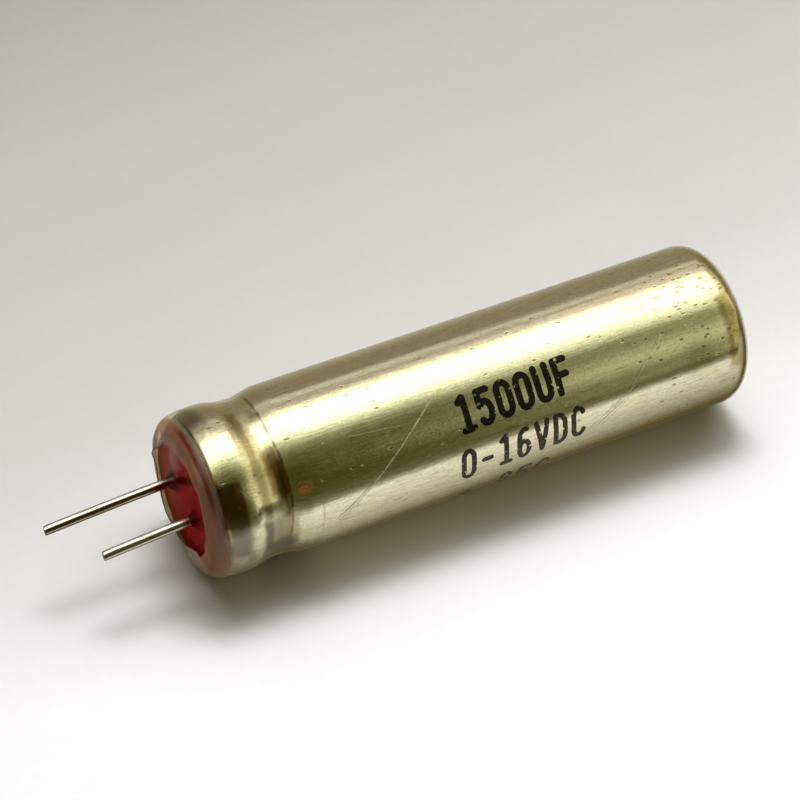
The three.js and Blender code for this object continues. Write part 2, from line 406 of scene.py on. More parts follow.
GRIME_AND_SHADE = [  # (station from, to), (degrees from, to), edge softness in mm, tone left of the metal
    ((0.3, 1.5), (13, 57), 0.25, (0.72, 0.62, 0.50)),
    ((0.3, 1.5), (94, 150), 0.30, (0.62, 0.56, 0.48)),
    ((1.2, 3.5), (13, 46), 0.25, (0.30, 0.19, 0.10)),
    ((1.5, 3.45), (-13, 14), 0.40, (0.27, 0.26, 0.25)),
    ((1.2, 4.4), (-80, -13), 0.60, (0.58, 0.56, 0.50)),
    ((1.0, 3.1), (92, 160), 0.55, (0.42, 0.39, 0.34)),
    ((3.2, 3.9), (-22, 10), 0.35, (0.66, 0.66, 0.64)),
    ((4.9, 5.9), (-20, 13), 0.30, (0.24, 0.22, 0.17)),
    ((5.0, 5.9), (13, 98), 0.30, (0.54, 0.49, 0.37)),
    ((5.9, 7.5), (-22, 12), 0.40, (0.45, 0.43, 0.36)),
    ((6.2, 7.3), (27, 60), 0.40, (0.40, 0.27, 0.14)),
    ((7.25, 7.9), (26, 50), 0.20, (0.62, 0.34, 0.16)),
    ((7.3, 7.7), (-28, 62), 0.22, (0.62, 0.52, 0.34)),
    ((6.9, 7.8), (86, 100), 0.40, (0.45, 0.42, 0.35)),
    ((7.7, 8.3), (-22, 9), 0.30, (0.62, 0.60, 0.54)),
    ((4.9, 8.2), (-80, -12), 0.50, (0.28, 0.25, 0.19)),
    ((8.2, 10.6), (-80, -24), 0.50, (0.40, 0.36, 0.28)),
    ((53.6, 55.0), (6, 62), 0.35, (0.52, 0.46, 0.28)),
    ((54.9, 56.6), (-400, 400), 0.30, (0.72, 0.66, 0.50)),
    ((49.0, 51.5), (12, 36), 1.00, (0.72, 0.70, 0.60)),
]
# Where the painted shade line along the crease runs.
CREASE = [(-30, 7.65), (-8, 7.62), (21, 7.9), (50, 7.92), (75, 7.78), (115, 7.95)]  # (degrees, station)
AMBER_PATCH = (9.1, 25.5)  # (station, degrees)


def grime_and_shade_tone(g, x, arc, wobble):
    """What the grime and the painted shade under the film leave of the metal's own tone."""
    px = g.math("ADD", x, g.math("MULTIPLY", wobble, 0.5))
    pa = g.math("ADD", arc, g.math("MULTIPLY", wobble, 1.6))
    tone = None
    for (x0, x1), (d0, d1), soft, colour in GRIME_AND_SHADE:
        a0, a1 = (math.radians(d) * BODY_RADIUS for d in (d0, d1))
        box = g.math("MULTIPLY", g.band(px, x0, x1, soft), g.band(pa, a0, a1, soft * 1.6))
        left = g.mix(box, (1.0, 1.0, 1.0), colour)
        tone = left if tone is None else g.mix(1.0, tone, left, "MULTIPLY")
    return tone


# A dark line painted along the crimp's crease: painted shade of the fold, with some grime in it.
def crease_shade_line(g, flat):
    total = None
    for (d0, x0), (d1, x1) in zip(CREASE, CREASE[1:]):
        line = g.ranged(g.segment(flat, (x0, d0), (x1, d1)), 0.04, 0.20, 0.75, 0.0)
        total = line if total is None else g.math("MAXIMUM", total, line)
    return g.math("MULTIPLY", total, g.ranged(g.noise(flat, 0.9, 3.0), 0.4, 0.6, 0.5, 1.0))


def aluminium_can():
    m, g = material("can_aluminium")
    x, arc, radius, where = g.around()
    even = g.unrolled(x, arc)
    round_wall = g.ranged(radius, 6.4, 7.4)
    draw_lines = g.noise(g.unrolled(g.math("MULTIPLY", x, 0.07), arc), 5.0, 6.0, 0.7)
    draw_lines = g.blend(round_wall, g.noise(where, 1.1, 6.0, 0.65), draw_lines)
    streaks = g.noise(g.unrolled(g.math("MULTIPLY", x, 0.35), arc), 2.4, 6.0, 0.7)
    streaks = g.blend(round_wall, g.noise(where, 0.8, 4.0, 0.6), streaks)
    mottle = g.blend(round_wall, g.noise(where, 3.0, 5.0, 0.7), g.noise(even, 3.6, 6.0, 0.75))
    clouds = g.noise(where, 0.35, 4.0, 0.6)
    fine = g.noise(where, 2.2, 4.0, 0.6)
    base = g.ramp(draw_lines, [
        (0.30, (0.70, 0.69, 0.66)), (0.48, (0.90, 0.90, 0.89)), (0.7, (0.96, 0.96, 0.95)),
    ])
    blotch = g.ramp(streaks, [
        (0.30, (0.80, 0.79, 0.74)), (0.5, (0.97, 0.97, 0.96)), (0.7, (1.0, 1.0, 1.0)),
    ])
    base = g.mix(1.0, base, blotch, "MULTIPLY")
    base = g.mix(1.0, base, g.ramp(mottle, [(0.33, (0.84, 0.83, 0.80)), (0.55, (1.0, 1.0, 1.0))]), "MULTIPLY")
    rough = g.ranged(g.weighted(draw_lines, 0.5, clouds, 0.5), 0.35, 0.65, 0.06, 0.13)
    height = g.weighted(draw_lines, 0.5, fine, 0.35)
    height = g.math("ADD", height, g.math("MULTIPLY", mottle, 0.12))
    pits = g.node("ShaderNodeTexVoronoi")
    g.feed(pits.inputs["Vector"], g.unrolled(g.math("MULTIPLY", x, 0.5), arc))
    pits.inputs["Scale"].default_value = 2.0
    chance = g.split(pits.outputs["Color"])[0]
    ragged = g.math("ADD", pits.outputs["Distance"], g.math("MULTIPLY", mottle, 0.25))
    pit = g.ranged(ragged, 0.29, 0.41, 1.0, 0.0)
    density = g.math("MULTIPLY", g.ranged(x, 43.0, 50.5, 0.07, 1.10), g.ranged(arc, 0.0, 6.0, 0.4, 1.0))
    pit = g.product(pit, g.math("LESS_THAN", chance, density), round_wall)
    base = g.mix(g.math("MULTIPLY", pit, 0.8), base, (0.34, 0.30, 0.18))
    height = g.math("SUBTRACT", height, g.math("MULTIPLY", pit, 1.2))
    wobble = g.math("SUBTRACT", g.noise(where, 0.9, 4.0, 0.6), 0.5)
    # Grime and painted shade on the metal, with the painted shade line along the crease; near the crimp,
    # random darker streaks.
    dirt_and_shade = g.mix(crease_shade_line(g, even), grime_and_shade_tone(g, x, arc, wobble), (0.16, 0.10, 0.04))
    crimped = g.ranged(x, 9.0, 9.8, 1.0, 0.0)
    smear = g.math("MULTIPLY", crimped, g.ranged(streaks, 0.42, 0.62, 0.0, 0.35))
    dirt_and_shade = g.mix(smear, dirt_and_shade, (0.45, 0.40, 0.28), "MULTIPLY")
    base = g.mix(1.0, base, dirt_and_shade, "MULTIPLY")
    rough = g.math("ADD", rough, g.math("MULTIPLY", crimped, g.ranged(clouds, 0.35, 0.65, 0.02, 0.12)))
    g.output(g.principled(base, rough, 1.0, g.bump(height, 0.27, 0.00005)))
    return m


TINT = (0.975, 0.965, 0.89)  # yellowed clear film
HAZE_TINT = (0.60, 0.44, 0.30)  # the folded film round the seal


def sleeve_outside():
    m, g = material("sleeve_film")
    x, arc, radius, where = g.around()
    flat = g.unrolled(x, arc)
    clear = g.node("ShaderNodeBsdfTransparent")
    below = g.math("MULTIPLY", g.ranged(arc, -2.0, 2.0, 1.0, 0.0), g.ranged(arc, -20.0, -14.0))
    overhang = g.math("SUBTRACT", x, g.math("MULTIPLY", below, 0.55))
    overhang = g.ranged(overhang, 0.6, 1.3, 1.0, 0.0)
    clouds = g.noise(where, 0.6, 4.0, 0.6)
    tint = g.mix(overhang, TINT, HAZE_TINT)
    g.link(tint, clear.inputs["Color"])
    ripples = g.weighted(g.noise(where, 0.5, 2.0), 0.8, g.noise(flat, 3.0, 3.0), 0.06)
    normal = g.bump(ripples, 0.25, 0.0002)
    gloss = g.node("ShaderNodeBsdfGlossy")
    g.feed(gloss.inputs["Roughness"], g.ranged(clouds, 0.35, 0.7, 0.05, 0.12))
    g.link(normal, gloss.inputs["Normal"])
    facing = g.node("ShaderNodeLayerWeight").outputs["Facing"]
    schlick = g.math("ADD", g.math("MULTIPLY", g.math("POWER", facing, 5.0), 0.96), 0.04)
    body = g.shader_mix(schlick, clear.outputs[0], gloss.outputs[0])
    # scratches and the milky overhang scatter light instead of letting it through
    marks = scratch_mask(g, flat)
    specks = g.node("ShaderNodeTexVoronoi")
    g.feed(specks.inputs["Vector"], flat)
    specks.inputs["Scale"].default_value = 0.45
    speck = g.ranged(specks.outputs["Distance"], 0.02, 0.05, 0.5, 0.0)
    far_side = g.math("MAXIMUM", g.ranged(arc, 16.5, 19.5), g.ranged(arc, -13.0, -10.0, 1.0, 0.0))
    far_side = g.math("MULTIPLY", far_side, g.ranged(x, -0.1, 0.25, 0.85, 0.0))
    milk = g.product(overhang, 0.62, g.math("SUBTRACT", 1.0, far_side))
    scatter = g.math("MAXIMUM", g.math("MAXIMUM", marks, speck), milk)
    # Painted shade in the gap where the film meets the can's rim, with some grime: a dark stripe near the rim
    # over the front and the top.
    rim_gap_shade = g.product(
        g.ranged(radius, 7.15, 7.4), g.ranged(arc, 3.5, 6.0), g.ranged(arc, 13.0, 15.0, 1.0, 0.0)
    )
    warm = g.math("MULTIPLY", g.ranged(arc, -8.5, -3.5), g.ranged(arc, 15.0, 22.0, 1.0, 0.0))
    folded = g.mix(warm, (0.55, 0.44, 0.34), (0.41, 0.19, 0.11))
    folded = g.mix(g.ranged(clouds, 0.4, 0.62, 0.0, 0.5), folded, (0.30, 0.105, 0.052))
    # The folded film grows darker towards the rim.
    folded = g.mix(g.ranged(radius, 5.6, 7.3, 0.0, 0.55), folded, (0.18, 0.10, 0.05))
    folded = g.mix(g.math("MULTIPLY", rim_gap_shade, 0.95), folded, (0.07, 0.016, 0.004))
    # An amber-brown matt patch on the film near the groove.
    centre = (AMBER_PATCH[0], math.radians(AMBER_PATCH[1]) * BODY_RADIUS, 0)
    amber_patch = g.vector("LENGTH", g.vector("SUBTRACT", flat, centre))
    amber_patch = g.ranged(g.math("ADD", amber_patch, g.math("MULTIPLY", clouds, 1.1)), 0.45, 1.60, 0.62, 0.0)
    scatter = g.math("MAXIMUM", scatter, amber_patch)
    plain = g.mix(g.ranged(amber_patch, 0.02, 0.2), (0.55, 0.53, 0.36), (0.38, 0.18, 0.04))
    matt = g.principled(g.mix(overhang, plain, folded), 0.5, Specular_IOR_Level=0.25)
    g.output(g.shader_mix(scatter, body, matt))
    return m


def sleeve_inside():
    m, g = material("sleeve_film_inside")
    x, arc, radius, where = g.around()
    clear = g.node("ShaderNodeBsdfTransparent")
    cloud = g.ranged(g.noise(where, 0.4, 3.0), 0.3, 0.7, 0.0, 1.0)
    g.link(g.mix(cloud, (0.985, 0.975, 0.92), (0.975, 0.965, 0.88)), clear.inputs["Color"])
    gloss = g.node("ShaderNodeBsdfGlossy")
    gloss.inputs["Roughness"].default_value = 0.1
    g.output(g.shader_mix(0.01, clear.outputs[0], gloss.outputs[0]))
    return m


def film_edge():
    m, g = material("sleeve_film_edge")
    x, arc, radius, where = g.around()
    clear = g.node("ShaderNodeBsdfTransparent")
    clear.inputs["Color"].default_value = (0.45, 0.22, 0.08, 1)
    dark = g.ramp(g.noise(where, 1.2, 3.0), [(0.35, (0.05, 0.018, 0.006)), (0.65, (0.12, 0.05, 0.02))])
    g.output(g.shader_mix(0.6, clear.outputs[0], g.principled(dark, 0.35)))
    return m


LEAD_SHADOW_STREAK = (Vector((0, 2.2, 0.5)), Vector((0, -3.0, 4.6)))  # a painted shadow of the positive lead across the seal's face


def red_resin():
    m, g = material("seal_resin")
    x, arc, radius, where = g.around()
    flattened = g.vector("MULTIPLY", where, (0, 1, 1))
    # Dark resin pooled round the leads, and the painted shadow of the positive lead along the streak.
    pooled_resin_and_lead_shadow = g.ranged(g.off_line(flattened, *LEAD_SHADOW_STREAK), 0.2, 0.55, 0.85, 0.0)
    for lead in LEADS.values():
        away = g.vector("LENGTH", g.vector("SUBTRACT", flattened, (0, lead["y"], lead["z"])))
        ragged = g.math("ADD", away, g.math("MULTIPLY", g.noise(where, 1.5, 3.0), 0.9))
        pooled_resin_and_lead_shadow = g.math("MAXIMUM", pooled_resin_and_lead_shadow, g.ranged(ragged, 1.0, 1.9, 1.0, 0.0))
    swirl = g.noise(where, 0.5, 4.0, 0.6)
    base = g.mix(g.ranged(swirl, 0.3, 0.7), (0.36, 0.011, 0.016), (0.24, 0.006, 0.009))
    base = g.mix(pooled_resin_and_lead_shadow, base, (0.06, 0.0008, 0.0015))
    bump = g.bump(g.noise(where, 0.7, 2.0), 0.05, 0.0002)
    matt = g.node("ShaderNodeBsdfDiffuse")
    g.link(base, matt.inputs["Color"])
    gloss = g.node("ShaderNodeBsdfGlossy")
    g.link(g.ranged(swirl, 0.3, 0.7, 0.12, 0.22), gloss.inputs["Roughness"])
    g.link(bump, gloss.inputs["Normal"])
    facing = g.node("ShaderNodeLayerWeight").outputs["Facing"]
    schlick = g.math("ADD", g.math("MULTIPLY", g.math("POWER", facing, 5.0), 0.9), 0.04)
    share = g.math("MULTIPLY", schlick, g.ranged(g.split(where)[1], 0.6, 3.0, 0.15, 1.0))
    g.output(g.shader_mix(share, matt.outputs[0], gloss.outputs[0]))
    return m


def tinned_wire():
    m, g = material("tinned_wire")
    x, arc, radius, where = g.around()
    stretched = g.vector("MULTIPLY", where, (0.25, 2.0, 2.0))
    dull = g.noise(stretched, 1.2, 5.0, 0.65)
    base = g.ramp(dull, [
        (0.3, (0.55, 0.50, 0.47)), (0.55, (0.80, 0.75, 0.73)), (0.75, (0.94, 0.89, 0.88)),
    ])
    # The side of the wire facing the front and a little up is painted dark: a painted dark reflection of the
    # room in front.
    front = g.node("ShaderNodeAttribute", attribute_name="front").outputs["Fac"]
    lift = g.node("ShaderNodeAttribute", attribute_name="lift").outputs["Fac"]
    toward = g.weighted(front, 0.85, lift, 0.53)
    dark_reflection_band = g.ranged(g.math("ADD", toward, g.math("MULTIPLY", dull, 0.22)), 0.96, 1.07)
    dark_reflection_band = g.math("MULTIPLY", dark_reflection_band, g.ranged(g.split(where)[1], -1.0, 1.0, 0.6, 1.0))
    base = g.mix(dark_reflection_band, base, (0.17, 0.12, 0.085))
    # The underside is painted darker: painted shade.
    base = g.mix(g.ranged(lift, -0.25, 0.25, 0.4, 0.0), base, (0.44, 0.39, 0.36))
    rough = g.ranged(dull, 0.3, 0.7, 0.26, 0.13)
    g.output(g.principled(base, rough, 1.0, g.bump(dull, 0.35, 0.00008)))
    return m


def ink():
    m, g = material("rating_ink")
    x, arc, radius, where = g.around()
    thin = g.noise(where, 2.5, 5.0, 0.7)
    base = g.ramp(thin, [(0.35, (0.004, 0.003, 0.0015)), (0.7, (0.014, 0.010, 0.005))])
    # The lower lines are in thinner, worn ink; their lighter tone also stands in for the bright reflection
    # seen through it: painted reflection.
    faded_ink_and_reflection = g.ramp(thin, [(0.3, (0.040, 0.032, 0.017)), (0.7, (0.095, 0.078, 0.044))])
    base = g.mix(g.ranged(arc, 1.2, 3.6, 0.75, 0.0), base, faded_ink_and_reflection)
    rough = g.ranged(thin, 0.3, 0.7, 0.15, 0.35)
    g.output(g.principled(base, rough, 0.0, g.bump(thin, 0.2, 0.00003), Specular_IOR_Level=0.2))
    return m


def plain_stuff(name, dark, light, scale, rough, metallic=0.0, stretch=(1, 1, 1)):
    """Procedural finish for the pieces inside the can."""
    m, g = material(name)
    x, arc, radius, where = g.around()
    grain = g.noise(g.vector("MULTIPLY", where, stretch), scale, 5.0, 0.6)
    base = g.ramp(grain, [(0.3, dark), (0.7, light)])
    low, high = rough
    g.output(g.principled(base, g.ranged(grain, 0.3, 0.7, low, high), metallic, g.bump(grain, 0.3, 0.0001)))
    return m


# ---- can

body_end = BODY_LENGTH - CORNER_RADIUS
corner = [
    (
        BODY_LENGTH - CORNER_RADIUS * (1 - math.sin(math.radians(a))),
        BODY_RADIUS - CORNER_RADIUS * (1 - math.cos(math.radians(a))),
    )
    for a in range(0, 91, 6)
]
shoulder = smooth_curve(SLEEVE_OUTLINE, 0.16)
skin = shoulder + straight(shoulder[-1], (body_end, BODY_RADIUS), 1.5)[:-1] + corner
skin += straight(corner[-1], (BODY_LENGTH, CLOSED_HOLE_RADIUS), 0.2)


GROOVE_STATION = 7.0
GROOVE_WIDTH = 0.95
GROOVE_EXTRA_DEPTH = 0.08
FILM_GAP = 0.03
RIM_END = 2.6  # station where the rolled rim meets the wall


def metal_dip(x):
    """How much deeper the metal runs under the film in the crimped groove."""
    return GROOVE_EXTRA_DEPTH * math.exp(-(((x - GROOVE_STATION) / GROOVE_WIDTH) ** 2))


under_film = [(x, r - metal_dip(x)) for x, r in inset(skin, FILM + FILM_GAP) if x > RIM_END]
can_outside = smooth_curve(RIM_OUTLINE, 0.12) + under_film[:-1]
can_outside += straight(under_film[-1], (under_film[-1][0], 0.0), 0.4)
can_inside = [(x, max(r, 0.0)) for x, r in inset(can_outside[:-1], CAN_WALL)][::-1]
can_profile = can_outside + [(can_inside[0][0], 0.0)] + can_inside

WAVES = random.Random(4)
wave_phase = [WAVES.uniform(0, 6.28) for _ in range(3)]


def can_warp(i, x, r, degrees):
    """Slight unevenness of the drawn wall and wrinkles in the crimp, always inwards."""
    a = math.radians(degrees)
    swell = 0.012 * math.sin(2 * a + wave_phase[0]) + 0.008 * math.sin(3 * a + x * 0.11 + wave_phase[1])
    bead = 0.03 * math.exp(-(((x - 6.9) / 1.6) ** 2)) * math.sin(9 * a + wave_phase[2])
    return x, r - abs(swell) - abs(bead) if i < len(can_outside) else r


can_piece = lathe("can_shell", can_profile, aluminium_can(), can_warp)

# ---- sleeve

LIP_MEAN_RADIUS = SLEEVE_OUTLINE[0][1]
LIP_ROOT_RADIUS = 7.15
CLOSED_LIP_ROOT_RADIUS = 6.2
LIP_RADIUS = {  # degrees: radius of the ragged edge of the film round the seal
    0: 5.6, 22: 5.9, 42: 6.13, 61: 6.2, 85: 5.72, 105: 5.5, 121: 5.45, 142: 5.3, 163: 5.6, 185: 4.95,
    212: 5.05, 232: 5.5, 250: 4.7, 262: 4.85, 274: 4.66, 290: 4.7, 309: 4.9, 319: 5.35, 340: 5.5,
}
LIP_LIFT = {  # degrees: how far that edge curls up off the seal
    0: 0.0, 60: 0.0, 110: 0.0, 135: 0.08, 160: 0.42, 178: 0.2, 205: 0.15, 235: 0.2, 250: 0.12,
    270: 0.28, 290: 0.04, 320: 0.0,
}


def sleeve_warp(i, x, r, degrees):
    """The ragged, curled edge of the film at both ends."""
    a = math.radians(degrees)
    if x < 1.0 and r < LIP_ROOT_RADIUS:
        reach = min(1.0, (LIP_ROOT_RADIUS - r) / (LIP_ROOT_RADIUS - LIP_MEAN_RADIUS))
        r += (periodic(LIP_RADIUS, degrees) - LIP_MEAN_RADIUS) * reach
        r += 0.05 * math.sin(17 * a + 0.5) * reach
        x -= periodic(LIP_LIFT, degrees) * reach ** 2
        x += 0.04 * math.sin(11 * a) * reach
    if x > BODY_LENGTH - 0.6 and r < CLOSED_LIP_ROOT_RADIUS:
        reach = (CLOSED_LIP_ROOT_RADIUS - r) / (CLOSED_LIP_ROOT_RADIUS - CLOSED_HOLE_RADIUS)
        r += 0.22 * math.sin(3 * a + 1.0) * reach + 0.1 * math.sin(7 * a) * reach
    return x, r


sleeve_in = inset(skin, FILM)[::-1]
film_finishes = [sleeve_outside(), sleeve_inside(), film_edge()]
OUTSIDE, INSIDE, EDGE = range(3)
CURLED_FROM, CURLED_TO = 120, 292  # degrees between which the film's cut edge shows dark
sleeve_piece = lathe("sleeve_film", skin + sleeve_in, film_finishes, sleeve_warp)
last_band = len(skin) + len(sleeve_in) - 1
for index, polygon in enumerate(sleeve_piece.data.polygons):
    band, side = divmod(index, ROUND_SIDES)
    if band in (0, last_band) and CURLED_FROM < side * 360 / ROUND_SIDES < CURLED_TO:
        polygon.material_index = EDGE
    elif len(skin) <= band < last_band:
        polygon.material_index = INSIDE
    else:
        polygon.material_index = OUTSIDE

# ---- resin


def resin_rise(y, z):
    """How far the resin stands up towards the leads' ends, in mm."""
    rise = 0.0
    for lead in LEADS.values():
        d = math.hypot(y - lead["y"], z - lead["z"])
        ragged = 0.16 * noise.noise(Vector((y * 1.2, z * 1.2, 3.0)))
        rise += 0.95 * math.exp(-((max(d - 0.35, 0.0) / (0.50 + ragged)) ** 1.4))
    rise += 0.06 * noise.noise(Vector((y * 0.35, z * 0.35, 8.0)))
    dish = 0.16 * (1 - (math.hypot(y, z) / 6.0) ** 2)
    return min(rise, 1.0) - dish


RESIN_FACE_RADIUS = 6.1
RESIN_SKIRT = [  # (station, radius) from the face's edge round to the back of the plug
    (0.45, 6.35), (0.75, 6.6), (1.1, 6.72), (1.2, 6.5), (1.3, 6.1), (1.69, 6.0),
]


def make_resin(material_):
    sides, rings = 160, 44
    vertices = [spot(RESIN_FACE - resin_rise(0, 0), 0, 0)]
    faces = []
    for i in range(1, rings + 1):
        radius = RESIN_FACE_RADIUS * i / rings
        for j in range(sides):
            a = 2 * math.pi * j / sides
            y, z = -radius * math.cos(a), radius * math.sin(a)
            vertices.append(spot(RESIN_FACE - resin_rise(y, z), y, z))
    for x, radius in RESIN_SKIRT:
        for j in range(sides):
            a = 2 * math.pi * j / sides
            vertices.append(spot(x, -radius * math.cos(a), radius * math.sin(a)))
    back = len(vertices)
    vertices.append(spot(RESIN_SKIRT[-1][0], 0, 0))
    total = rings + len(RESIN_SKIRT)
    for j in range(sides):
        k = (j + 1) % sides
        faces.append((0, 1 + j, 1 + k))
        faces.append((back, 1 + (total - 1) * sides + k, 1 + (total - 1) * sides + j))
        for i in range(total - 1):
            p, q = 1 + i * sides, 1 + (i + 1) * sides
            faces.append((p + k, p + j, q + j, q + k))
    return make_object("resin_plug", vertices, faces, material_, 60)


resin_piece = make_resin(red_resin())

# ---- leads


def lead_axis(lead, t):
    """Centre of the wire at a station t, following the same lean as the CAD wire."""
    y, z, reach, lean = lead["y"], lead["z"], lead["reach"], lead["lean"]
    if t > LEAD_BEND:
        return y, z
    u = (LEAD_BEND - t) / (LEAD_BEND + reach)
    u = u * (0.85 + 0.15 * u)
    return y + lean[0] * u, z + lean[1] * u


LEAD_START = 0.8
LEAD_STEP = 0.15


def make_lead(name, lead, material_):
    sides = 28
    cut = -lead["reach"]
    stations = [LEAD_START - k * LEAD_STEP for k in range(int((LEAD_START - cut) / LEAD_STEP))]
    rings = [(s, 1.0) for s in stations if s > cut + 0.12]
    rings += [(cut + 0.09, 0.99), (cut + 0.03, 0.93), (cut + 0.01, 0.8)]
    vertices, faces, facing = [], [], []
    for s, scale in rings:
        cy, cz = lead_axis(lead, s)
        tip = max(0.0, 1 - (s - cut) / 0.9)
        for j in range(sides):
            a = 2 * math.pi * j / sides
            uneven = 0.015 * noise.noise(Vector((s * 0.7, math.cos(a), math.sin(a))))
            r = LEAD_RADIUS * scale * (1 + uneven)
            y, z = r * math.cos(a), r * math.sin(a)
            z *= 1 - 0.10 * tip ** 2
            vertices.append(spot(s + 0.10 * y * tip, cy + y, cz + z))
            facing.append((-math.cos(a), math.sin(a)))
    first = len(vertices)
    vertices.append(spot(rings[0][0], *lead_axis(lead, rings[0][0])))
    vertices.append(spot(rings[-1][0] + 0.03, *lead_axis(lead, rings[-1][0])))
    last_ring = (len(rings) - 1) * sides
    for j in range(sides):
        k = (j + 1) % sides
        faces.append((first, k, j))
        faces.append((first + 1, last_ring + j, last_ring + k))
        for i in range(len(rings) - 1):
            p, q = i * sides, (i + 1) * sides
            faces.append((p + j, p + k, q + k, q + j))
    obj = make_object(name, vertices, faces, material_, 38)
    facing += [(0.0, 0.0), (0.0, 0.0)]
    for n, key in enumerate(("front", "lift")):
        attribute = obj.data.attributes.new(key, "FLOAT", "POINT")
        attribute.data.foreach_set("value", [f[n] for f in facing])
    return obj


TIN = tinned_wire()
lead_pieces = {
    pole: make_lead(f"tinned_lead_{pole}", lead, TIN) for pole, lead in LEADS.items()
}

# ---- printed rating
# Every glyph is a few strokes in a box one unit wide and two units high. An arc is a centre, the two
# radii and the angles it runs between.


def arc(cx, cy, rx, ry, start, end, count=14):
    return [
        (
            cx + rx * math.cos(math.radians(start + (end - start) * k / count)),
            cy + ry * math.sin(math.radians(start + (end - start) * k / count)),
        )
        for k in range(count + 1)
    ]


GLYPHS = {
    "0": [arc(0.5, 1.5, 0.42, 0.45, 0, 180) + arc(0.5, 0.5, 0.42, 0.45, 180, 360) + [(0.92, 1.5)]],
    "1": [[(0.18, 1.75), (0.55, 1.98), (0.55, 0.05)], [(0.2, 0.05), (0.9, 0.05)]],
    "5": [
        [(0.88, 1.95), (0.16, 1.95), (0.12, 1.12)],
        [(0.12, 1.12)] + arc(0.46, 0.68, 0.44, 0.63, 110, -140),
    ],
    "6": [arc(0.62, 1.35, 0.5, 0.6, 75, 180) + [(0.1, 0.6)], arc(0.5, 0.6, 0.4, 0.55, 0, 360, 24)],
    "8": [arc(0.5, 1.5, 0.36, 0.45, 0, 360, 22), arc(0.5, 0.55, 0.42, 0.5, 0, 360, 22)],
    "U": [[(0.08, 1.97), (0.08, 0.5)] + arc(0.5, 0.48, 0.42, 0.45, 180, 360) + [(0.92, 1.97)]],
    "F": [[(0.12, 0.05), (0.12, 1.95), (0.92, 1.95)], [(0.12, 1.08), (0.8, 1.08)]],
    "V": [[(0.05, 1.97), (0.5, 0.05), (0.95, 1.97)]],
    "D": [
        [(0.12, 0.05), (0.12, 1.95), (0.4, 1.95)] + arc(0.4, 1.45, 0.5, 0.5, 90, 0)
        + arc(0.4, 0.55, 0.5, 0.5, 0, -90) + [(0.12, 0.05)],
    ],
    "C": [arc(0.52, 1.45, 0.42, 0.5, 20, 180) + arc(0.52, 0.55, 0.42, 0.5, 180, 340)],
    "-": [[(0.2, 0.95), (0.8, 0.95)]],
    "+": [[(0.1, 1.0), (0.9, 1.0)], [(0.5, 0.6), (0.5, 1.4)]],
    " ": [],
}

RATING = [  # text, first station, foot angle, pitch, glyph width, glyph height, stroke
    ("1500UF", 25.15, 27.4, 2.05, 1.38, 3.20, 0.66),
    ("0-16VDC", 24.75, -9.2, 1.92, 1.25, 3.2, 0.52),
    ("+ 85C", 25.2, -46.0, 1.95, 1.25, 3.2, 0.42),
]
PRINT_RISE = 0.045  # the lines climb this much for each millimetre along the can
INK_CELL = 0.055
INK_LIFT = 0.012
INK_SINK = 0.004
INK_WEAR = 0.012
CHIP_FROM = 0.56
CHIP_DEPTH = 0.4


def ink_segments():
    out = []
    for text, station, foot, pitch, width, height, stroke in RATING:
        base = math.radians(foot) * BODY_RADIUS
        for n, letter in enumerate(text):
            for line in GLYPHS[letter]:
                pts = [(n * pitch + px * width, py * height / 2) for px, py in line]
                pts = [(station + px, base + py + px * PRINT_RISE) for px, py in pts]
                out += [(p, q, stroke / 2) for p, q in zip(pts, pts[1:]) if math.dist(p, q) > 1e-4]
    return out


def ink_field():
    """Positive inside the ink: half the stroke less the distance from it, less wear."""
    segments = ink_segments()
    xs = [p[0] for s in segments for p in s[:2]]
    ys = [p[1] for s in segments for p in s[:2]]
    x = np.arange(min(xs) - 0.5, max(xs) + 0.5, INK_CELL)
    y = np.arange(min(ys) - 0.5, max(ys) + 0.5, INK_CELL)
    gx, gy = np.meshgrid(x, y, indexing="ij")
    field = np.full(gx.shape, -9.0)
    for (ax, ay), (bx, by), half in segments:
        dx, dy = bx - ax, by - ay
        t = np.clip(((gx - ax) * dx + (gy - ay) * dy) / (dx * dx + dy * dy), 0, 1)
        field = np.maximum(field, half - np.hypot(gx - ax - t * dx, gy - ay - t * dy))
    wear = np.array([[noise.fractal(Vector((a * 2.1, b * 2.1, 5.0)), 0.6, 2.0, 4) for b in y] for a in x])
    chips = np.clip((wear - CHIP_FROM) * 3.0, 0, 1)
    return x, y, field - INK_WEAR * wear - CHIP_DEPTH * chips


